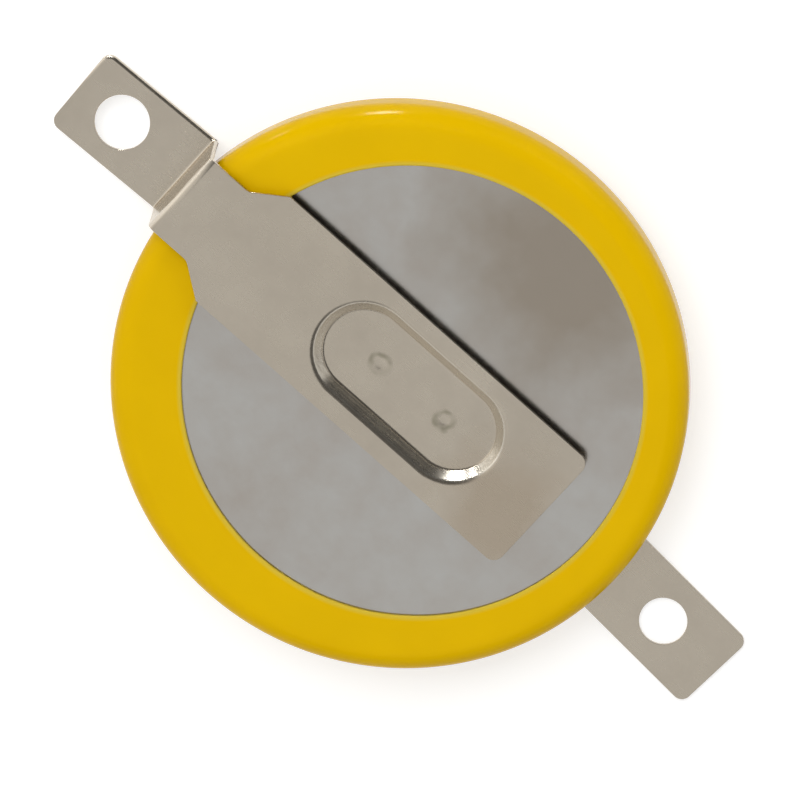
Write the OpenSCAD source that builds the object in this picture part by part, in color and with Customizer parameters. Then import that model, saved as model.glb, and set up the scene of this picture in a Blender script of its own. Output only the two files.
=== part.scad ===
// Tabbed lithium coin cell: a crimped cell in a shrunk sleeve, with two stamped solder tabs.
// It lies on the underside of its lower tab, with the can's flat face up.

/* [Cell] */
// Diameter of the bare cell
cell_d = 24.5; // [22:0.1:28]
// Height of the bare cell, cap face to can face
cell_h = 3.0; // [2.8:0.1:4]
// Outer corner radius of the can's drawn edge
can_corner_r = 0.9; // [0.6:0.05:1.1]
// Wall of the can
can_t = 0.25; // [0.2:0.01:0.3]
// Outer radius of the crimped edge
crimp_r = 1.0; // [0.8:0.05:1.1]
// Depth of the crimped rim behind the cap's face
crimp_set = 0.25; // [0.22:0.01:0.35]
// Length of the flat lip at the end of the crimp
crimp_lip = 0.35; // [0.1:0.05:0.5]

/* [Cap] */
// Width of the ring left between the crimp's lip and the cap's drum
cap_ring = 0.6; // [0.4:0.05:1]
// Wall of the cap
cap_t = 0.25; // [0.2:0.01:0.3]
// Corner radius of the cap's face
cap_corner_r = 0.45; // [0.3:0.05:0.6]
// Height of the cap's step, where it spreads under the crimp
cap_step = 0.7; // [0.65:0.05:0.8]
// Radius of the bends of the cap's step
cap_bend_r = 0.1; // [0.05:0.01:0.15]
// Gap left under the cap's skirt for the foot of the gasket
skirt_end = 0.4; // [0.3:0.05:0.6]

/* [Gasket] */
// Wall of the gasket between the cap and the can
gasket_t = 0.35; // [0.3:0.01:0.45]
// Width of the gasket's foot under the skirt
gasket_foot = 0.75; // [0.7:0.05:0.9]

/* [Filling] */
// Thickness of the lithium disc
lithium_t = 0.7; // [0.5:0.05:0.9]
// Thickness of the separator
separator_t = 0.12; // [0.08:0.01:0.2]
// Height of the separator's turned up edge
separator_rim = 0.6; // [0.3:0.05:0.8]
// Thickness of the collector's sheet
collector_t = 0.12; // [0.08:0.01:0.2]
// Height of the collector's rim round the cathode
collector_rim = 0.8; // [0.4:0.05:1]
// Clearance between parts that slip into each other
fit_gap = 0.04; // [0.02:0.01:0.06]

/* [Sleeve] */
// Wall of the shrunk sleeve
sleeve_t = 0.2; // [0.12:0.01:0.2]
// Mean width of the sleeve's lap over the can's face
can_lap = 2.55; // [1.8:0.05:3.5]
// Shift of that opening along the tabs
opening_x = 0.45; // [0:0.05:0.6]
// Shift of that opening across the tabs
opening_y = 0.45; // [0:0.05:0.6]
// Width of the sleeve's lap round the cap
cap_lap = 1.75; // [1.4:0.05:1.9]

/* [Tabs] */
// Thickness of the tab sheet
tab_t = 0.2; // [0.15:0.01:0.3]
// Width of the leads that stand out of the cell
lead_w = 4.05; // [3:0.05:5]
// Length of each lead past the sleeve
lead_l = 6.3; // [5:0.1:10]
// Corner radius of the leads' ends
lead_corner_r = 0.45; // [0.2:0.05:0.8]
// Width of the welding pads
pad_w = 6.15; // [5:0.05:7]
// Corner radius of the pads' ends
pad_corner_r = 0.5; // [0.2:0.05:0.8]
// Length over which each shoulder widens the lead into the pad
shoulder_l = 1.45; // [1:0.05:2]
// Inner corner radius between the lead and a shoulder
shoulder_r = 0.5; // [0.3:0.05:1]

/* [Upper tab] */
// Distance from the pad's end to the edge of the can
upper_pad_margin = 4.2; // [3.6:0.1:5]
// Length of the neck and its shoulders over the sleeve
neck_l = 3.45; // [3:0.05:4]
// Offset of the upper tab across the cell
upper_y = 0.4; // [0:0.05:0.8]
// Height of the pad's underside over the can's face
stand_off = 0.5; // [0.3:0.05:0.8]
// Drop of the lead below the pad
lead_drop = 3.2; // [2:0.1:3.4]
// Inside radius of the tab's bends
bend_r = 0.15; // [0.1:0.01:0.3]
// Slope of the joggle's wall
joggle_angle = 86; // [70:1:88]
// Clearance between the joggle and the sleeve
joggle_gap = 0.05; // [0.05:0.01:0.3]
// Sideways turn of the upper lead
upper_skew = 2; // [0:0.5:4]
// Diameter of the hole in the upper lead
upper_hole_d = 2.4; // [1.6:0.1:2.6]
// Distance of that hole from the lead's end
upper_hole_inset = 2.4; // [2:0.05:3]

/* [Pressed pocket] */
// Length of the pocket's mouth
pocket_l = 9.9; // [8:0.1:11]
// Width of the pocket's mouth
pocket_w = 4.8; // [4:0.1:5]
// Slope of the pocket's wall
pocket_angle = 48; // [40:1:60]
// Shift of the pocket along the tab from the cell's axis
pocket_x = 0.3; // [0:0.1:1]
// Shift of the pocket across the tab from its middle
pocket_y = 0.1; // [0:0.05:0.3]
// Shift of the spot welds along the tab from the cell's axis
weld_x = 0.45; // [0:0.05:1]
// Spacing of the two spot welds
weld_spacing = 3.66; // [3:0.01:4.5]
// Diameter of a spot weld's dimple
weld_d = 0.85; // [0.6:0.05:1]
// Depth of a spot weld's dimple
weld_depth = 0.06; // [0.03:0.01:0.08]

/* [Lower tab] */
// Distance from either end of the pad to the edge of the cap
lower_pad_margin = 3.8; // [2.5:0.1:5]
// Offset of the lower tab across the cell
lower_y = 0.4; // [0:0.05:0.8]
// Sideways turn of the lower tab
lower_skew = -3.4; // [-5:0.1:0]
// Diameter of the hole in the lower lead
lower_hole_d = 2.1; // [1.6:0.1:2.6]
// Distance of that hole from the lead's end
lower_hole_inset = 3.2; // [2:0.05:4]

/* [Hidden] */
$fn = 96;
arc_steps = 10;
cut = 1;
join = 0.1;

can_r = cell_d / 2;
cell_z = tab_t;
cell_top = cell_z + cell_h;
can_inside_r = can_r - can_t;
can_inside_top = cell_top - can_t;
crimp_z = cell_z + crimp_set;
lip_end_r = can_r - crimp_r - crimp_lip;
cap_r = lip_end_r - cap_ring;
cap_floor = cell_z + cap_t;
skirt_r = can_inside_r - gasket_t - 2 * fit_gap;
step_z = cell_z + cap_step;
skirt_top = can_inside_top - skirt_end;
lithium_r = cap_r - cap_corner_r - fit_gap;
separator_r = skirt_r - cap_t - cap_bend_r - fit_gap;
separator_z = max(cap_floor + lithium_t, step_z + cap_t);
foot_r = can_inside_r - fit_gap - gasket_foot;
collector_r = foot_r - fit_gap;
cathode_r = collector_r - collector_t - fit_gap;
sleeve_r = can_r + sleeve_t;
pad_z = cell_top + stand_off;
lead_z = pad_z - lead_drop;
joggle_x = sleeve_r + joggle_gap;
lead_reach = sleeve_r + lead_l;
upper_pad_end = can_r - upper_pad_margin;
upper_pad_start = joggle_x - neck_l;
lower_pad_end = cap_r - lower_pad_margin;
bend_mid_r = bend_r + tab_t / 2;

// Points of an arc about c, from angle a to angle b
function arc(c, r, a, b) =
    [for (i = [0 : arc_steps]) let (t = a + (b - a) * i / arc_steps) [c[0] + r * cos(t), c[1] + r * sin(t)]];

// Length of the straight wall in a double bend that steps down by drop at a slope
function wall_length(drop, slope) = (drop - 2 * bend_mid_r * (1 - cos(slope))) / sin(slope);

// Width of that double bend between its two flats
function bend_run(drop, slope) =
    2 * bend_mid_r * sin(slope) + wall_length(drop, slope) * cos(slope);

// Section of a sheet that runs in at the height drop, bends down and runs out at height 0
module stepped_sheet(run_in, drop, slope, run_out) {
    run = bend_run(drop, slope);
    high = [0, drop - bend_r];
    low = [run, tab_t + bend_r];
    polygon(concat(
        [[-run_in, drop + tab_t]],
        arc(high, bend_r + tab_t, 90, 90 - slope),
        arc(low, bend_r, 270 - slope, 270),
        [[run + run_out, tab_t], [run + run_out, 0]],
        arc(low, bend_r + tab_t, 270, 270 - slope),
        arc(high, bend_r, 90 - slope, 90),
        [[-run_in, drop]]
    ));
}

// Rectangle from x1 to x2 and w wide, with the two corners at x1 rounded
module tongue(x1, x2, w, r) {
    translate([x1 + r, -w / 2]) square([x2 - x1 - r, w]);
    translate([x1, -w / 2 + r]) square([r + join, w - 2 * r]);
    for (side = [-1, 1]) translate([x1 + r, side * (w / 2 - r)]) circle(r);
}

// Side edge of a shoulder, from the lead towards +x to the pad's full width at x = 0
function shoulder_edge() =
    let (slope = atan2((pad_w - lead_w) / 2, shoulder_l),
         start = shoulder_l + shoulder_r * tan(slope / 2))
    concat(
        arc([start, lead_w / 2 + shoulder_r], shoulder_r, 270, 270 - slope),
        [[0, pad_w / 2]]);
function moved(points, x) = [for (p = points) [p[0] + x, p[1]]];

// Rounded corner at the far end of a pad, the end at -x
function pad_corner(x) =
    arc([pad_corner_r - x, pad_w / 2 - pad_corner_r], pad_corner_r, 90, 180);

// Flat shape from its edge on the +y side and the same edge mirrored
module even_sheet(edge) {
    polygon(concat(edge, [for (i = [len(edge) - 1 : -1 : 0]) [edge[i][0], -edge[i][1]]]));
}

// Can drawn from one disc, its open edge crimped inwards
module positive_can() {
    base = [can_r - can_corner_r, cell_top - can_corner_r];
    curl = [can_r - crimp_r, crimp_z + crimp_r];
    color("gainsboro") rotate_extrude() polygon(concat(
        [[0, cell_top]],
        arc(base, can_corner_r, 90, 0),
        arc(curl, crimp_r, 0, -90),
        [[lip_end_r, crimp_z], [lip_end_r, crimp_z + can_t]],
        arc(curl, crimp_r - can_t, -90, 0),
        arc(base, can_corner_r - can_t, 0, 90),
        [[0, can_inside_top]]
    ));
}

// Cap whose drum passes through the crimp and whose skirt stands in the gasket
module negative_cap() {
    face = [cap_r - cap_corner_r, cell_z + cap_corner_r];
    step = [skirt_r - cap_bend_r - cap_t, step_z + cap_t + cap_bend_r];
    waist = [cap_r + cap_bend_r, step_z - cap_bend_r];
    color("silver") rotate_extrude() polygon(concat(
        [[0, cell_z]],
        arc(face, cap_corner_r, -90, 0),
        arc(waist, cap_bend_r, 180, 90),
        arc(step, cap_bend_r + cap_t, -90, 0),
        [[skirt_r, skirt_top], [skirt_r - cap_t, skirt_top]],
        arc(step, cap_bend_r, 0, -90),
        arc(waist, cap_bend_r + cap_t, 90, 180),
        arc(face, cap_corner_r - cap_t, 0, -90),
        [[0, cap_floor]]
    ));
}

// Seal that lines the crimp, fills the gap to the skirt and turns under it
module gasket() {
    curl = [can_r - crimp_r, crimp_z + crimp_r];
    seal_r = crimp_r - can_t - fit_gap;
    outer_r = can_inside_r - fit_gap;
    seal_top = step_z - fit_gap;
    color("dimgray") rotate_extrude() polygon(concat(
        arc(curl, seal_r, -90, 0),
        [
            [outer_r, can_inside_top - can_corner_r],
            [outer_r - can_corner_r / 2, can_inside_top - fit_gap],
            [foot_r, can_inside_top - fit_gap],
            [foot_r, skirt_top + fit_gap],
            [skirt_r + fit_gap, skirt_top + fit_gap],
            [skirt_r + fit_gap, seal_top],
            [cap_r + fit_gap, seal_top],
            [cap_r + fit_gap, crimp_z],
            [lip_end_r - fit_gap, crimp_z],
            [lip_end_r - fit_gap, crimp_z + can_t + fit_gap]
        ]
    ));
}

module lithium_disc() {
    color("lightsteelblue") translate([0, 0, cap_floor]) cylinder(h = lithium_t, r = lithium_r);
}

// Thin cup between the lithium and the cathode
module separator() {
    color("whitesmoke") difference() {
        translate([0, 0, separator_z]) cylinder(h = separator_t + separator_rim, r = separator_r);
        translate([0, 0, separator_z + separator_t])
            cylinder(h = separator_rim + cut, r = separator_r - separator_t);
    }
}

// Shallow cup of thin sheet that holds the cathode against the can
module cathode_collector() {
    color("darkgray") difference() {
        translate([0, 0, can_inside_top - collector_rim]) cylinder(h = collector_rim, r = collector_r);
        translate([0, 0, can_inside_top - collector_rim - cut])
            cylinder(h = collector_rim + cut - collector_t, r = collector_r - collector_t);
    }
}

module cathode_pellet() {
    low = separator_z + separator_t;
    color("black") translate([0, 0, low])
        cylinder(h = can_inside_top - collector_t - low, r = cathode_r);
}

// Section of a disc with both edges rounded, from z1 to z2
module rounded_disc(r, z1, z2, low_r, high_r) {
    polygon(concat(
        [[0, z2]],
        arc([r - high_r, z2 - high_r], high_r, 90, 0),
        arc([r - low_r, z1 + low_r], low_r, 0, -90),
        [[0, z1]]
    ));
}

// Tube shrunk over the edge of the cell, lapping onto both faces
module sleeve() {
    gap = fit_gap / 2;
    color("gold") difference() {
        rotate_extrude() rounded_disc(
            sleeve_r, crimp_z - sleeve_t, cell_top + sleeve_t,
            crimp_r + sleeve_t, can_corner_r + sleeve_t
        );
        rotate_extrude() rounded_disc(
            can_r + gap, crimp_z - gap, cell_top + gap, crimp_r + gap, can_corner_r + gap
        );
        translate([opening_x, opening_y, cell_top - cut / 2])
            cylinder(h = cut + sleeve_t, r = sleeve_r - can_lap);
        translate([0, 0, -cut]) cylinder(h = crimp_z + 1.5 * cut, r = sleeve_r - cap_lap);
    }
}

// Outline of the upper tab seen from above, its pad at +X
module upper_outline() {
    mirror([1, 0]) even_sheet(concat(
        [[joggle_x + tab_t, lead_w / 2]],
        moved(shoulder_edge(), upper_pad_start),
        pad_corner(upper_pad_end)));
    translate([-joggle_x, 0]) rotate(upper_skew)
        tongue(joggle_x - lead_reach, 0, lead_w, lead_corner_r);
}

// Dish pressed down into the pad until its floor meets the can
module pocket(depth) {
    run = bend_run(depth, pocket_angle);
    end_r = pocket_w / 2;
    half = pocket_l / 2 - end_r;
    for (side = [-1, 1]) translate([side * half, 0, 0]) rotate(-90 * side)
        rotate_extrude(angle = 180) translate([end_r, 0]) mirror([1, 0])
            stepped_sheet(0, depth, pocket_angle, end_r - run);
    rotate([90, 0, 90]) translate([0, 0, -half]) linear_extrude(2 * half)
        for (side = [0, 1]) mirror([side, 0])
            translate([end_r, 0]) mirror([1, 0]) stepped_sheet(0, depth, pocket_angle, end_r - run);
}

// Opening of the pocket's mouth through the flat pad
module pocket_mouth() {
    end_r = pocket_w / 2;
    half = pocket_l / 2 - end_r;
    for (side = [-1, 1]) translate([side * half, 0, -cut]) cylinder(h = 3 * cut, r = end_r);
    translate([-half, -end_r, -cut]) cube([2 * half, pocket_w, 3 * cut]);
}

// Shallow hollow left by a spot weld in a surface at z = 0
module weld_dimple() {
    ball_r = (weld_d * weld_d / 4 + weld_depth * weld_depth) / (2 * weld_depth);
    translate([0, 0, ball_r - weld_depth]) sphere(ball_r);
}

// Stamped tab that steps down beside the sleeve and is welded in its pocket
module upper_tab() {
    hole_x = lead_reach - joggle_x - upper_hole_inset;
    run = bend_run(lead_drop, joggle_angle);
    color("darkgray") translate([0, upper_y, 0]) difference() {
        union() {
            difference() {
                intersection() {
                    translate([0, 0, lead_z - cut])
                        linear_extrude(lead_drop + tab_t + 2 * cut) upper_outline();
                    translate([0, pad_w, lead_z]) rotate([90, 0, 0]) linear_extrude(2 * pad_w)
                        translate([bend_r - joggle_x, 0]) mirror([1, 0])
                            stepped_sheet(
                                joggle_x + upper_pad_end + cut, lead_drop, joggle_angle, 2 * lead_l);
                }
                translate([pocket_x, pocket_y, pad_z]) pocket_mouth();
            }
            translate([pocket_x, pocket_y, cell_top]) pocket(stand_off);
        }
        translate([-joggle_x, 0, lead_z - cut]) rotate(upper_skew)
            translate([-hole_x, 0, 0]) cylinder(h = tab_t + 2 * cut, d = upper_hole_d);
        for (side = [-1, 1])
            translate([weld_x + side * weld_spacing / 2, pocket_y, cell_top + tab_t]) weld_dimple();
    }
}

// Flat stamped tab welded under the cap
module lower_tab() {
    color("darkgray") rotate(lower_skew) translate([0, lower_y, 0]) difference() {
        linear_extrude(tab_t) even_sheet(concat(
            arc([lead_reach - lead_corner_r, lead_w / 2 - lead_corner_r], lead_corner_r, 0, 90),
            moved(shoulder_edge(), lower_pad_end),
            pad_corner(lower_pad_end)));
        translate([lead_reach - lower_hole_inset, 0, -cut])
            cylinder(h = tab_t + 2 * cut, d = lower_hole_d);
        for (side = [-1, 1]) translate([side * weld_spacing / 2, 0, 0]) mirror([0, 0, 1])
            weld_dimple();
    }
}

positive_can();
gasket();
negative_cap();
cathode_pellet();
cathode_collector();
separator();
lithium_disc();
sleeve();
upper_tab();
lower_tab();
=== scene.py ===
import math

import bmesh
import bpy
from mathutils import Matrix, Vector


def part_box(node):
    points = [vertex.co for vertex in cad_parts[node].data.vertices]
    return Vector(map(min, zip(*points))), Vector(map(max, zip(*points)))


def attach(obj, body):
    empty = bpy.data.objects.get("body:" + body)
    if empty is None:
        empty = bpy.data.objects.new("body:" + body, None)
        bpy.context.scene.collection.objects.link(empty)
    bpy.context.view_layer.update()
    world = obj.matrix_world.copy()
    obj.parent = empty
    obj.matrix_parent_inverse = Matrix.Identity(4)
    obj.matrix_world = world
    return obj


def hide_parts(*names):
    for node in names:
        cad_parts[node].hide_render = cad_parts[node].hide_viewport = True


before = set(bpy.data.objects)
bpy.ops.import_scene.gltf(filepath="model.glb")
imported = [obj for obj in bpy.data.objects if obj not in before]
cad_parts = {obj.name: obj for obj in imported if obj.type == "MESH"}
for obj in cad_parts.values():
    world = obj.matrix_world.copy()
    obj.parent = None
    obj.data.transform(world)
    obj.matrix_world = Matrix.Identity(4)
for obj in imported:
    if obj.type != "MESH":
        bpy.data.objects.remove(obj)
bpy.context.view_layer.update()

MM = 0.001

# Camera, fitted to the outline of the sleeve and the edges of the tabs
CAMERA_TILT = math.radians(14.88)
CAMERA_AZIMUTH = math.radians(110.5)
CAMERA_ROLL = math.radians(158.36)
CAMERA_DISTANCE = 300 * MM
NEAREST_SEEN = 10 * MM
IMAGE_SIDE = 800
PIXELS_PER_MM = 23.162
ORIGIN_PIXEL = (404.1, 374.8)
SENSOR = 36.0

# Sleeve: laps, wall and opening as in its solid, with rounder shoulders and an uneven upper lip
SLEEVE_LOW, SLEEVE_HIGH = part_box("sleeve")
SLEEVE_RADIUS = SLEEVE_HIGH.x
SLEEVE_MIDDLE = (SLEEVE_LOW.z + SLEEVE_HIGH.z) / 2
CAN_LAP = 2.55 * MM
CAP_LAP = 1.75 * MM
OPENING_SHIFT = Vector((0.45 * MM, 0.45 * MM, 0.0))
SLEEVE_WALL = 0.2 * MM
TOP_SHOULDER = 1.0 * MM
LOW_SHOULDER = 1.2 * MM
LIP_ROUND = 0.07 * MM
SHOULDER_STEPS = 14
LIP_STEPS = 5
SLEEVE_TURNS = 320
LIP_WAVE = 0.05 * MM
LIP_WAVE_FINENESS = 260.0
LIP_WAVE_SEED = 4.0

# Tabs: the edge that the stamping tool rolled over, the cut edges and the wall of the pocket
ROLLED_EDGE = 0.175 * MM
ROLLED_STEPS = 4
CUT_EDGE = 0.018 * MM
CUT_STEPS = 2
LEAD_TOP = 0.75 * MM
LEAD_SIDE = 1.7 * MM
POCKET_FLOOR = 3.4 * MM
PAD_TOP = 3.9 * MM
POCKET_REACH = 7.0 * MM
WALL_START, WALL_FULL = 0.03 * MM, 0.08 * MM
WALL_END = 0.1 * MM

# Meshes: points merged within a distance, faces taken as flat, edges broken and edges kept sharp
MERGED = 0.0005 * MM
FLAT_ANGLE = math.radians(0.6)
BROKEN_ANGLE = math.radians(50)
SHARP_ANGLE = math.radians(38)
UPWARD = 0.6

# Marks of the spot welds, two on each tab
WELDS = tuple(Vector(place) * MM for place in (
    (-1.38, 0.5, 3.4), (2.28, 0.5, 3.4), (-1.80, 0.51, 0.0), (1.85, 0.29, 0.0),
))
WELD_RADIUS = 0.40 * MM
WELD_WIDTH = 0.17 * MM
WELD_WANDER = 0.35 * MM
WELD_DEPTH = 0.004 * MM
WELD_COLOUR = (0.40, 0.37, 0.28, 1)

# Tinted patches: centre, full reach, faint reach and colour; the can's is painted shade at its upper
# right, the pad's a browner end
CAN_PAINTED_SHADE = (Vector((1.6, 9.6, 3.2)) * MM, 2.6 * MM, 7.6 * MM, (0.42, 0.37, 0.31, 1))
PAD_BROWN_PATCH = (Vector((6.8, -0.9, 3.9)) * MM, 1.0 * MM, 3.4 * MM, (0.565, 0.485, 0.385, 1))
PATCH_FINENESS = 380.0
PATCH_WANDER = 5 * MM

# Rolled metal: how fine each pattern is, how far it is drawn out and how deep its relief is
GRAIN_FINENESS, GRAIN_STRETCH, GRAIN_DEPTH = 700.0, (1.0, 16.0, 16.0), 0.0003 * MM
CLOUD_FINENESS = 210.0
BLOT_FINENESS, BLOT_DEPTH = 900.0, 0.0002 * MM
SCRATCH_FINENESS, SCRATCH_STRETCH, SCRATCH_DEPTH = 260.0, (1.0, 70.0, 70.0), -0.0005 * MM
SCRATCH_TURN = 0.5
SCRATCH_EDGE = (0.70, 0.76)
DRAWN_FINENESS, DRAWN_STRETCH, DRAWN_DEPTH = 620.0, (1.0, 9.0, 9.0), 0.009 * MM
# Painted light: the pocket's wall is painted paler and more neutral than the sheet, to offset the
# tan of its own reflections
WALL_PAINTED_LIGHT = (0.77, 0.72, 0.63, 1)

# Vinyl of the sleeve, and the pale line along its upper lip
VINYL_DEEP = (0.82, 0.50, 0.0005, 1)
VINYL_BRIGHT = (0.855, 0.525, 0.0006, 1)
VINYL_ROUGHNESS = (0.11, 0.14)
VINYL_SHEEN = 0.05
RIPPLE_FINENESS, RIPPLE_DEPTH = 300.0, 0.02 * MM
FINE_FINENESS = 3000.0
LIP_LINE = 0.17 * MM
LIP_COLOUR = (0.74, 0.53, 0.045, 1)

# Studio, as the radiance that shiny surfaces see
PANEL_HEIGHT = 300 * MM
PANEL_SIZE = 320 * MM
PANEL_SHIFT = 50 * MM
PANEL_LIGHT = (0.56, 0.76)
PANEL_FINENESS = 9.0
ROOM_COLOUR = (1.0, 0.98, 0.95, 1)
ROOM_LIGHT = 0.10
BRIGHT_SIDE_LIGHT = 0.62
BRIGHT_SIDE_AZIMUTH = 230.0
BRIGHT_SIDE_EDGE = (0.45, 0.65)
TENT_LIGHT = 0.72
TENT_TOP = (0.36, 0.48)
SHADE_LIGHT = 0.045
SHADE_AZIMUTH = 125.0
SHADE_EDGE = (0.50, 0.64)
STRIP_LIGHT = 1.25
HIGH_STRIP_LIGHT = 0.80
STRIP_AZIMUTH = 194.0
STRIP_EDGE = (0.93, 0.975)
FLOOR_SIZE = 2.0
FLOOR_DROP = 0.02 * MM
FLOOR_GREY = 0.6
FLOOR_GLOW = 0.6

# Lamps: azimuth, elevation, distance, width, height, power and the rays that don't see them.
# The first two are small and give the sleeve its highlights, and the others are soft.
LAMPS = {
    "glint": (140, 8, 250 * MM, 34 * MM, 66 * MM, 0.40, "visible_diffuse"),
    "second_glint": (166, 4, 250 * MM, 20 * MM, 30 * MM, 0.055, "visible_diffuse"),
    "key": (150, 55, 420 * MM, 260 * MM, 260 * MM, 0.77, "visible_glossy"),
    "fill": (330, 55, 420 * MM, 260 * MM, 260 * MM, 0.31, "visible_glossy"),
    "side_fill": (95, 22, 420 * MM, 260 * MM, 260 * MM, 0.55, "visible_glossy"),
}


def add(tree, kind, inputs=None, **settings):
    """A node of a tree, its settings and its inputs, each a value or another node's socket."""
    new = tree.nodes.new(kind)
    for name, value in settings.items():
        setattr(new, name, value)
    for name, value in (inputs or {}).items():
        if isinstance(value, bpy.types.NodeSocket):
            tree.links.new(value, new.inputs[name])
        else:
            new.inputs[name].default_value = value
    return new


def maths(tree, operation, a, b=0.0):
    """The result of a sum on one or two numbers."""
    return add(tree, "ShaderNodeMath", {0: a, 1: b}, operation=operation).outputs[0]


def times(tree, a, b):
    """The product of two numbers."""
    return maths(tree, "MULTIPLY", a, b)


def plus(tree, a, b):
    """The sum of two numbers."""
    return maths(tree, "ADD", a, b)


def vector(tree, operation, inputs, output="Vector"):
    """The result of a sum on vectors, itself a vector or a number."""
    return add(tree, "ShaderNodeVectorMath", inputs, operation=operation).outputs[output]


def distance(tree, a, b):
    """The distance between two places."""
    return vector(tree, "DISTANCE", {0: a, 1: b}, "Value")


def spread(tree, value, low, high, new_low=0.0, new_high=1.0):
    """A value mapped from one range to another, and clamped."""
    made = add(tree, "ShaderNodeMapRange", {
        "Value": value, "From Min": low, "From Max": high, "To Min": new_low, "To Max": new_high,
    })
    return made.outputs["Result"]


def mix(tree, factor, first, second):
    """Two numbers mixed by a factor."""
    inputs = {0: factor, 2: first, 3: second}
    return add(tree, "ShaderNodeMix", inputs, data_type="FLOAT").outputs[0]


def blend(tree, factor, first, second):
    """Two colours mixed by a factor."""
    inputs = {0: factor, 6: first, 7: second}
    return add(tree, "ShaderNodeMix", inputs, data_type="RGBA").outputs[2]


def bump(tree, height, depth, below=None):
    """A bump of a real depth in metres, over another bump where one is given."""
    inputs = {"Height": height, "Distance": depth, "Strength": 1.0}
    if below is not None:
        inputs["Normal"] = below
    return add(tree, "ShaderNodeBump", inputs).outputs[0]


def noise(tree, place, scale, detail=3.0, roughness=0.5):
    """Noise with features of about 1 / scale metres."""
    made = add(tree, "ShaderNodeTexNoise", {
        "Vector": place, "Scale": scale, "Detail": detail, "Roughness": roughness,
    })
    return made.outputs["Fac"]


def wander(tree, place, scale, detail, reach):
    """Noise as a distance either way, to make the edge of a mark uneven."""
    return times(tree, maths(tree, "SUBTRACT", noise(tree, place, scale, detail), 0.5), reach)


def stretched(tree, place, scale, turn=0.0):
    """Coordinates scaled by axis, so that noise on them runs as grain."""
    turned = add(tree, "ShaderNodeMapping", {"Vector": place, "Rotation": (0, 0, turn)})
    return add(tree, "ShaderNodeMapping", {"Vector": turned.outputs[0], "Scale": scale}).outputs[0]


def new_material(name):
    """An empty material, its tree, its shader and the object's own coordinates."""
    material = bpy.data.materials.new(name)
    material.use_nodes = True
    tree = material.node_tree
    tree.nodes.clear()
    shader = add(tree, "ShaderNodeBsdfPrincipled")
    out = add(tree, "ShaderNodeOutputMaterial")
    tree.links.new(shader.outputs["BSDF"], out.inputs["Surface"])
    place = add(tree, "ShaderNodeTexCoord").outputs["Object"]
    return material, tree, shader, place


def weld_rings(tree, place):
    """How far a point lies in the faint uneven rings that the welding tips left."""
    nearest = None
    for centre in WELDS:
        away = distance(tree, place, centre)
        nearest = away if nearest is None else maths(tree, "MINIMUM", nearest, away)
    uneven = plus(tree, nearest, wander(tree, place, 2200.0, 2.0, WELD_WANDER))
    off_ring = maths(tree, "ABSOLUTE", maths(tree, "SUBTRACT", uneven, WELD_RADIUS))
    ring = spread(tree, off_ring, 0.0, WELD_WIDTH, 1.0, 0.0)
    return times(tree, ring, spread(tree, noise(tree, place, 1500.0, 1.0), 0.38, 0.6, 0.25, 1.0))


def tinted_patch(tree, place, colour, about):
    """A colour with a soft uneven tinted patch about a place: painted shade on the can, a browner
    end on the pad.
    """
    centre, full, faint, tint = about
    away = distance(tree, place, centre)
    away = plus(tree, away, wander(tree, place, PATCH_FINENESS, 3.0, PATCH_WANDER))
    return blend(tree, spread(tree, away, faint, full), colour, tint)


def pocket_wall(tree, place):
    """How far a point lies on the wall of the pocket."""
    parts = add(tree, "ShaderNodeSeparateXYZ", {0: place}).outputs
    above = spread(tree, parts["Z"], POCKET_FLOOR + WALL_START, POCKET_FLOOR + WALL_FULL)
    below = spread(tree, parts["Z"], PAD_TOP - WALL_START, PAD_TOP - WALL_FULL)
    along = maths(tree, "ABSOLUTE", parts["X"])
    beside = spread(tree, along, POCKET_REACH + WALL_END, POCKET_REACH)
    return times(tree, beside, times(tree, above, below))


def rolled_metal(name, pale, dark, rough, grain_turn=0.0, cloudy=0.5, tab=False, tint_patch=None):
    """Bright rolled sheet with clouds, a faint grain, a few fine scratches and, where one is given,
    a tinted patch, which on the can is painted shade.

    A tab also has the lines of drawing on the wall of its pocket, that wall painted paler and more
    neutral as painted light, and the rings of its welds.
    """
    material, tree, shader, place = new_material(name)
    grain_place = stretched(tree, place, GRAIN_STRETCH, grain_turn)
    grain = noise(tree, grain_place, GRAIN_FINENESS, 4.0, 0.6)
    cloud = noise(tree, place, CLOUD_FINENESS, 4.0, 0.55)
    blot = noise(tree, place, BLOT_FINENESS, 3.0, 0.6)
    scratch_place = stretched(tree, place, SCRATCH_STRETCH, grain_turn + SCRATCH_TURN)
    scratches = spread(tree, noise(tree, scratch_place, SCRATCH_FINENESS, 2.0), *SCRATCH_EDGE)
    tone = plus(tree, times(tree, cloud, cloudy), times(tree, blot, 1.0 - cloudy))
    colour = blend(tree, spread(tree, tone, 0.34, 0.66), dark, pale)
    gloss = plus(tree, times(tree, blot, 0.10), rough - 0.05)
    gloss = plus(tree, gloss, times(tree, grain, 0.05))
    # A tinted patch where one is given: on the can it is painted shade
    if tint_patch:
        colour = tinted_patch(tree, place, colour, tint_patch)
    relief = bump(tree, grain, GRAIN_DEPTH)
    relief = bump(tree, blot, BLOT_DEPTH, relief)
    relief = bump(tree, scratches, SCRATCH_DEPTH, relief)
    if tab:
        wall = pocket_wall(tree, place)
        drawn = noise(tree, stretched(tree, place, DRAWN_STRETCH), DRAWN_FINENESS, 2.0)
        relief = bump(tree, times(tree, drawn, wall), DRAWN_DEPTH, relief)
        # Painted light: the pocket's wall painted paler than the sheet
        colour = blend(tree, wall, colour, WALL_PAINTED_LIGHT)
        ring = weld_rings(tree, place)
        colour = blend(tree, times(tree, ring, 0.9), colour, WELD_COLOUR)
        gloss = plus(tree, gloss, times(tree, ring, 0.12))
        relief = bump(tree, ring, WELD_DEPTH, relief)
    tree.links.new(colour, shader.inputs["Base Color"])
    tree.links.new(gloss, shader.inputs["Roughness"])
    tree.links.new(relief, shader.inputs["Normal"])
    shader.inputs["Metallic"].default_value = 1.0
    return material


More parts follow.
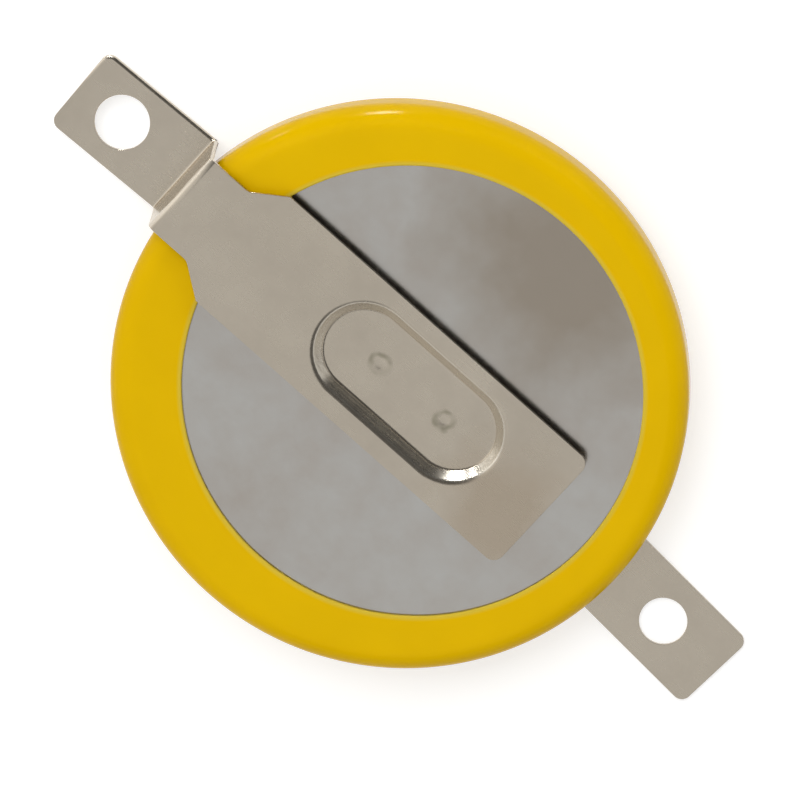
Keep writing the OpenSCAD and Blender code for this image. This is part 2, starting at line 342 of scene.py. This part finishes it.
def sleeve_vinyl():
    """Smooth yellow vinyl with the faint ripple of shrinking and a pale line along its lip."""
    material, tree, shader, place = new_material("yellow_vinyl")
    ripple = noise(tree, place, RIPPLE_FINENESS, 2.0)
    fine = noise(tree, place, FINE_FINENESS, 2.0)
    colour = blend(tree, spread(tree, ripple, 0.3, 0.7), VINYL_DEEP, VINYL_BRIGHT)
    level = vector(tree, "MULTIPLY", {0: place, 1: (1, 1, 0)})
    from_middle = distance(tree, level, OPENING_SHIFT)
    lip = SLEEVE_RADIUS - CAN_LAP
    line = spread(tree, from_middle, lip + 1.4 * LIP_LINE, lip + 0.6 * LIP_LINE)
    height = add(tree, "ShaderNodeSeparateXYZ", {0: place}).outputs["Z"]
    line = times(tree, line, maths(tree, "GREATER_THAN", height, SLEEVE_MIDDLE))
    colour = blend(tree, line, colour, LIP_COLOUR)
    tree.links.new(colour, shader.inputs["Base Color"])
    tree.links.new(spread(tree, fine, 0.3, 0.7, *VINYL_ROUGHNESS), shader.inputs["Roughness"])
    tree.links.new(bump(tree, ripple, RIPPLE_DEPTH), shader.inputs["Normal"])
    shader.inputs["Specular IOR Level"].default_value = VINYL_SHEEN
    return material


def plain_stuff(name, pale, dark, rough, fineness, depth):
    """Dull moulded, pressed or woven stuff with a fine mottle."""
    material, tree, shader, place = new_material(name)
    mottle = noise(tree, place, fineness, 4.0, 0.6)
    colour = blend(tree, spread(tree, mottle, 0.3, 0.7), dark, pale)
    gloss = spread(tree, mottle, 0.3, 0.7, rough - 0.08, rough + 0.08)
    tree.links.new(colour, shader.inputs["Base Color"])
    tree.links.new(gloss, shader.inputs["Roughness"])
    tree.links.new(bump(tree, mottle, depth), shader.inputs["Normal"])
    return material


def dress(node, material):
    """The material on every slot of a CAD node."""
    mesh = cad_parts[node].data
    if not mesh.materials:
        mesh.materials.append(material)
    for index in range(len(mesh.materials)):
        mesh.materials[index] = material


def arc(centre, radius, start, end, steps=SHOULDER_STEPS):
    """Points along an arc between two angles in degrees, with both ends."""
    angles = [math.radians(start + (end - start) * i / steps) for i in range(steps + 1)]
    return [
        (centre[0] + radius * math.cos(angle), centre[1] + radius * math.sin(angle))
        for angle in angles
    ]


def run(start, end, steps):
    """Points along a straight line, without its ends."""
    return [
        (start[0] + (end[0] - start[0]) * i / steps, start[1] + (end[1] - start[1]) * i / steps)
        for i in range(1, steps)
    ]


def sleeve_section():
    """The sleeve's closed section as (radius, height) points, from the inside of the upper lip."""
    outer, wall, lip = SLEEVE_RADIUS, SLEEVE_WALL, LIP_ROUND
    top, low = SLEEVE_HIGH.z, SLEEVE_LOW.z
    upper_lip, lower_lip = outer - CAN_LAP, outer - CAP_LAP
    up = (outer - TOP_SHOULDER, top - TOP_SHOULDER)
    down = (outer - LOW_SHOULDER, low + LOW_SHOULDER)
    points = arc((upper_lip + lip, top - lip), lip, 180, 90, LIP_STEPS)
    points += run((upper_lip + lip, top), (up[0], top), 6)
    points += arc(up, TOP_SHOULDER, 90, 0)
    points += run((outer, up[1]), (outer, down[1]), 4)
    points += arc(down, LOW_SHOULDER, 0, -90)
    points += run((down[0], low), (lower_lip + lip, low), 3)
    points += arc((lower_lip + lip, low + lip), lip, 270, 180, LIP_STEPS)
    points += [(lower_lip, low + wall)]
    points += arc(down, LOW_SHOULDER - wall, -90, 0)
    points += arc(up, TOP_SHOULDER - wall, 0, 90)
    points += [(upper_lip, top - wall)]
    return points


def section_mesh(points):
    """A closed loop of edges in the XY plane: x outwards from the sleeve's side, y downwards."""
    mesh = bpy.data.meshes.new("sleeve_section")
    count = len(points)
    corners = [(x - SLEEVE_RADIUS, -y, 0.0) for x, y in points]
    mesh.from_pydata(corners, [(i, (i + 1) % count) for i in range(count)], [])
    return mesh


def sleeve_tree():
    """Geometry Nodes tree that sweeps the section round the cell and draws its upper lip aside."""
    tree = bpy.data.node_groups.new("shrunk_sleeve", "GeometryNodeTree")
    sockets = tree.interface
    sockets.new_socket(name="Section", in_out="INPUT", socket_type="NodeSocketGeometry")
    named = {}
    for name, kind in (
        ("Turns", "Int"), ("Radius", "Float"), ("Flat radius", "Float"), ("Lip radius", "Float"),
        ("Middle height", "Float"), ("Lip shift", "Vector"), ("Ripple", "Float"),
        ("Seed", "Float"), ("Vinyl", "Material"),
    ):
        socket = sockets.new_socket(name=name, in_out="INPUT", socket_type="NodeSocket" + kind)
        named[name] = socket.identifier
    sockets.new_socket(name="Geometry", in_out="OUTPUT", socket_type="NodeSocketGeometry")
    given = add(tree, "NodeGroupInput").outputs
    circle = {"Resolution": given["Turns"], "Radius": given["Radius"]}
    path = add(tree, "GeometryNodeCurvePrimitiveCircle", circle).outputs["Curve"]
    section = add(tree, "GeometryNodeMeshToCurve", {"Mesh": given["Section"]}).outputs["Curve"]
    swept = {"Curve": path, "Profile Curve": section}
    skin = add(tree, "GeometryNodeCurveToMesh", swept).outputs["Mesh"]
    place = add(tree, "GeometryNodeInputPosition").outputs[0]
    parts = add(tree, "ShaderNodeSeparateXYZ", {0: place}).outputs
    flat = add(tree, "ShaderNodeCombineXYZ", {"X": parts["X"], "Y": parts["Y"]}).outputs[0]
    radius = vector(tree, "LENGTH", {0: flat}, "Value")
    nearness = add(
        tree, "ShaderNodeMapRange",
        {"Value": radius, "From Min": given["Flat radius"], "From Max": given["Lip radius"]},
        interpolation_type="SMOOTHSTEP",
    ).outputs["Result"]
    above = maths(tree, "GREATER_THAN", parts["Z"], given["Middle height"])
    drawn = times(tree, nearness, above)
    wave = add(
        tree, "ShaderNodeTexNoise",
        {
            "Vector": flat, "W": given["Seed"], "Scale": LIP_WAVE_FINENESS, "Detail": 2.0,
            "Roughness": 0.45,
        },
        noise_dimensions="4D",
    ).outputs["Fac"]
    wave = times(tree, maths(tree, "SUBTRACT", wave, 0.5), given["Ripple"])
    outward = vector(tree, "NORMALIZE", {0: flat})
    waved = vector(tree, "SCALE", {0: outward, "Scale": wave})
    shift = vector(tree, "ADD", {0: given["Lip shift"], 1: waved})
    shift = vector(tree, "SCALE", {0: shift, "Scale": drawn})
    made = add(tree, "GeometryNodeSetPosition", {"Geometry": skin, "Offset": shift})
    for kind in ("GeometryNodeSetShadeSmooth", "GeometryNodeRealizeInstances"):
        made = add(tree, kind, {"Geometry": made.outputs["Geometry"]})
    made = add(tree, "GeometryNodeSetMaterial", {
        "Geometry": made.outputs["Geometry"], "Material": given["Vinyl"],
    })
    out = add(tree, "NodeGroupOutput")
    tree.links.new(made.outputs["Geometry"], out.inputs["Geometry"])
    return tree, named


def settled(piece):
    """The piece with its modifiers made plain mesh and removed."""
    seen = piece.evaluated_get(bpy.context.evaluated_depsgraph_get())
    shaped = bpy.data.meshes.new_from_object(seen)
    piece.modifiers.clear()
    piece.data = shaped


def outward_faces(mesh):
    """The mesh with its points merged where they meet and every face turned outwards."""
    work = bmesh.new()
    work.from_mesh(mesh)
    bmesh.ops.remove_doubles(work, verts=work.verts, dist=MERGED)
    bmesh.ops.recalc_face_normals(work, faces=work.faces)
    work.to_mesh(mesh)
    work.free()


def build_sleeve(vinyl):
    """The shrunk sleeve as one mesh, with rounder shoulders than its solid and an uneven lip."""
    piece = bpy.data.objects.new("sleeve_skin", section_mesh(sleeve_section()))
    bpy.context.scene.collection.objects.link(piece)
    tree, named = sleeve_tree()
    modifier = piece.modifiers.new("sweep", "NODES")
    modifier.node_group = tree
    values = {
        "Turns": SLEEVE_TURNS,
        "Radius": SLEEVE_RADIUS,
        "Flat radius": SLEEVE_RADIUS - TOP_SHOULDER,
        "Lip radius": SLEEVE_RADIUS - CAN_LAP,
        "Middle height": SLEEVE_MIDDLE,
        "Lip shift": OPENING_SHIFT,
        "Ripple": LIP_WAVE,
        "Seed": LIP_WAVE_SEED,
        "Vinyl": vinyl,
    }
    for name, value in values.items():
        modifier[named[name]] = value
    settled(piece)
    outward_faces(piece.data)
    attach(piece, "root")
    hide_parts("sleeve")


def on_rolled_side(edge):
    """Whether an edge is on the side of the upper lead that the stamping tool rolled over."""
    middle = (edge.verts[0].co + edge.verts[1].co) / 2
    upward = max(face.normal.z for face in edge.link_faces)
    return upward > UPWARD and middle.x < 0 and middle.z < LEAD_TOP and middle.y > LEAD_SIDE


def build_tab(node, material):
    """A tab with one edge of the upper lead rolled over and its other edges barely broken."""
    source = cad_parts[node]
    mesh = source.data.copy()
    mesh.transform(source.matrix_world)
    work = bmesh.new()
    work.from_mesh(mesh)
    bmesh.ops.remove_doubles(work, verts=work.verts, dist=MERGED)
    bmesh.ops.dissolve_limit(
        work, angle_limit=FLAT_ANGLE, verts=work.verts, edges=work.edges,
    )
    for width, steps, chosen in (
        (ROLLED_EDGE, ROLLED_STEPS, True), (CUT_EDGE, CUT_STEPS, False),
    ):
        work.normal_update()
        broken = [
            edge for edge in work.edges
            if len(edge.link_faces) == 2 and edge.calc_face_angle() > BROKEN_ANGLE
            and on_rolled_side(edge) == chosen
        ]
        bmesh.ops.bevel(
            work, geom=broken, offset=width, segments=steps, profile=0.5, affect="EDGES",
            clamp_overlap=False,
        )
    work.to_mesh(mesh)
    work.free()
    outward_faces(mesh)
    mesh.shade_smooth()
    mesh.set_sharp_from_angle(angle=SHARP_ANGLE)
    mesh.materials.clear()
    mesh.materials.append(material)
    piece = bpy.data.objects.new(node + "_rolled", mesh)
    bpy.context.scene.collection.objects.link(piece)
    # Large flat faces set the shading of the narrow broken edges beside them
    piece.modifiers.new("even_shading", "WEIGHTED_NORMAL").keep_sharp = True
    settled(piece)
    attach(piece, "root")
    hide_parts(node)


def polar(azimuth, elevation, reach):
    """A place by its direction from the cell, in degrees, and its distance."""
    turn, rise = math.radians(azimuth), math.radians(elevation)
    return reach * Vector((
        math.cos(rise) * math.cos(turn), math.cos(rise) * math.sin(turn), math.sin(rise),
    ))


def faces(tree, level, azimuth, edge):
    """How far a level direction looks towards an azimuth, from 0 at one cosine to 1 at the next."""
    towards = vector(tree, "DOT_PRODUCT", {0: level, 1: polar(azimuth, 0, 1)}, "Value")
    return spread(tree, towards, *edge)


def room_light():
    """Dim room, brighter on the upper tab's side, in a bright low tent that is open in the shade."""
    world = bpy.data.worlds.new("studio")
    bpy.context.scene.world = world
    world.use_nodes = True
    tree = world.node_tree
    looking = add(tree, "ShaderNodeTexCoord").outputs["Generated"]
    height = add(tree, "ShaderNodeSeparateXYZ", {0: looking}).outputs["Z"]
    level = vector(tree, "MULTIPLY", {0: looking, 1: (1, 1, 0)})
    level = vector(tree, "NORMALIZE", {0: level})
    bright_side = faces(tree, level, BRIGHT_SIDE_AZIMUTH, BRIGHT_SIDE_EDGE)
    upper = mix(tree, bright_side, ROOM_LIGHT, BRIGHT_SIDE_LIGHT)
    shade = faces(tree, level, SHADE_AZIMUTH, SHADE_EDGE)
    lower = mix(tree, shade, TENT_LIGHT, SHADE_LIGHT)
    over_tent = spread(tree, height, *TENT_TOP)
    strength = mix(tree, over_tent, lower, upper)
    strip = mix(tree, over_tent, STRIP_LIGHT, HIGH_STRIP_LIGHT)
    strength = mix(tree, faces(tree, level, STRIP_AZIMUTH, STRIP_EDGE), strength, strip)
    back = tree.nodes["Background"]
    back.inputs["Color"].default_value = ROOM_COLOUR
    tree.links.new(strength, back.inputs["Strength"])


def glowing(name, low, high, fineness):
    """A light of uneven strength for a card: two strengths mixed by a soft noise."""
    material, tree, _shader, place = new_material(name)
    strength = spread(tree, noise(tree, place, fineness, 1.0), 0.35, 0.65, low, high)
    light = add(tree, "ShaderNodeEmission", {"Color": (1.0, 0.99, 0.97, 1), "Strength": strength})
    out = next(node for node in tree.nodes if node.type == "OUTPUT_MATERIAL")
    tree.links.new(light.outputs[0], out.inputs["Surface"])
    return material


def card(name, place, size, material):
    """A square card that faces the cell and that the camera doesn't see."""
    bpy.ops.mesh.primitive_plane_add(size=1.0, location=place)
    new = bpy.context.object
    new.name = name
    new.scale = (size, size, 1.0)
    new.rotation_euler = (-Vector(place)).to_track_quat("Z", "Y").to_euler()
    new.data.materials.append(material)
    new.visible_camera = False


def white_paper():
    """White paper that glows to the camera and in reflections, and so keeps the cell's shadow."""
    material, tree, shader, _place = new_material("pale_floor")
    shader.inputs["Base Color"].default_value = (FLOOR_GREY, FLOOR_GREY, FLOOR_GREY, 1)
    shader.inputs["Roughness"].default_value = 0.9
    shader.inputs["Specular IOR Level"].default_value = 0.1
    shader.inputs["Emission Color"].default_value = (1, 1, 1, 1)
    rays = add(tree, "ShaderNodeLightPath").outputs
    seen = maths(tree, "MAXIMUM", rays["Is Camera Ray"], rays["Is Glossy Ray"])
    seen = maths(tree, "MAXIMUM", seen, rays["Is Transmission Ray"])
    tree.links.new(times(tree, seen, FLOOR_GLOW), shader.inputs["Emission Strength"])
    return material


def lay_floor():
    """The white paper under the cell, a hair below the lower tab so that they don't touch."""
    bpy.ops.mesh.primitive_plane_add(size=FLOOR_SIZE, location=(0, 0, -FLOOR_DROP))
    floor = bpy.context.object
    floor.name = "floor"
    floor.data.materials.append(white_paper())


def hang_panel():
    """The panel overhead, where flat upward faces mirror it to the camera."""
    away = math.degrees(CAMERA_AZIMUTH) + 180
    mirrored = polar(away, 90 - math.degrees(CAMERA_TILT), 1.0)
    overhead = mirrored * (PANEL_HEIGHT / mirrored.z)
    overhead += polar(away, 0, PANEL_SHIFT)
    card("panel", overhead, PANEL_SIZE, glowing("panel_light", *PANEL_LIGHT, PANEL_FINENESS))


def lamp(name, azimuth, elevation, reach, width, height, power, unseen):
    """A rectangular lamp that points at the cell and that one kind of ray doesn't see."""
    data = bpy.data.lights.new(name, "AREA")
    data.shape = "RECTANGLE"
    data.size = width
    data.size_y = height
    data.energy = power
    new = bpy.data.objects.new(name, data)
    bpy.context.scene.collection.objects.link(new)
    new.location = polar(azimuth, elevation, reach)
    new.rotation_euler = (-new.location).to_track_quat("-Z", "Y").to_euler()
    setattr(new, unseen, False)


def camera():
    """The camera that the photograph's outlines give."""
    back = Vector((
        math.sin(CAMERA_TILT) * math.cos(CAMERA_AZIMUTH),
        math.sin(CAMERA_TILT) * math.sin(CAMERA_AZIMUTH),
        math.cos(CAMERA_TILT),
    ))
    upright = (Vector((0, 0, 1)) - back * back.z).normalized()
    side = upright.cross(back)
    right = math.cos(CAMERA_ROLL) * side - math.sin(CAMERA_ROLL) * upright
    top = math.sin(CAMERA_ROLL) * side + math.cos(CAMERA_ROLL) * upright
    offset = [(pixel - IMAGE_SIDE / 2) / PIXELS_PER_MM * MM for pixel in ORIGIN_PIXEL]
    data = bpy.data.cameras.new("camera")
    data.sensor_width = SENSOR
    data.lens = PIXELS_PER_MM * CAMERA_DISTANCE / MM * SENSOR / IMAGE_SIDE
    data.clip_start = NEAREST_SEEN
    view = bpy.data.objects.new("camera", data)
    bpy.context.scene.collection.objects.link(view)
    turn = Matrix((right, top, back)).transposed().to_4x4()
    place = back * CAMERA_DISTANCE - right * offset[0] + top * offset[1]
    view.matrix_world = Matrix.Translation(place) @ turn
    bpy.context.scene.camera = view


def studio():
    """White paper below, a broad soft panel overhead and soft lamps in a dim room."""
    bpy.context.scene.view_settings.view_transform = "Standard"
    room_light()
    lay_floor()
    hang_panel()
    for name, row in LAMPS.items():
        lamp(name, *row)
    camera()


# The nickel is browner towards the pad's end
nickel = rolled_metal(
    "nickel_sheet", pale=(0.675, 0.61, 0.512, 1), dark=(0.595, 0.535, 0.447, 1), rough=0.24,
    cloudy=0.55, tab=True, tint_patch=PAD_BROWN_PATCH,
)
# The can's steel carries painted shade: a darker warm patch at its upper right
can_steel = rolled_metal(
    "can_steel", pale=(0.605, 0.60, 0.58, 1), dark=(0.54, 0.505, 0.465, 1), rough=0.20,
    grain_turn=0.4, cloudy=0.65, tint_patch=CAN_PAINTED_SHADE,
)
vinyl = sleeve_vinyl()
dress("positive_can", can_steel)
dress("negative_cap", can_steel)
dress("upper_tab", nickel)
dress("lower_tab", nickel)
dress("sleeve", vinyl)
dress("gasket", plain_stuff(
    "gasket_plastic", pale=(0.05, 0.05, 0.05, 1), dark=(0.03, 0.03, 0.03, 1), rough=0.5,
    fineness=3000.0, depth=0.004 * MM,
))
dress("cathode_pellet", plain_stuff(
    "pressed_oxide", pale=(0.03, 0.03, 0.03, 1), dark=(0.012, 0.012, 0.012, 1), rough=0.8,
    fineness=6000.0, depth=0.01 * MM,
))
dress("separator", plain_stuff(
    "soaked_fibre", pale=(0.8, 0.8, 0.77, 1), dark=(0.65, 0.65, 0.62, 1), rough=0.7,
    fineness=8000.0, depth=0.01 * MM,
))
dress("cathode_collector", can_steel)
dress("lithium_disc", rolled_metal(
    "lithium_metal", pale=(0.62, 0.63, 0.66, 1), dark=(0.5, 0.51, 0.54, 1), rough=0.45,
))
build_sleeve(vinyl)
build_tab("upper_tab", nickel)
build_tab("lower_tab", nickel)
studio()
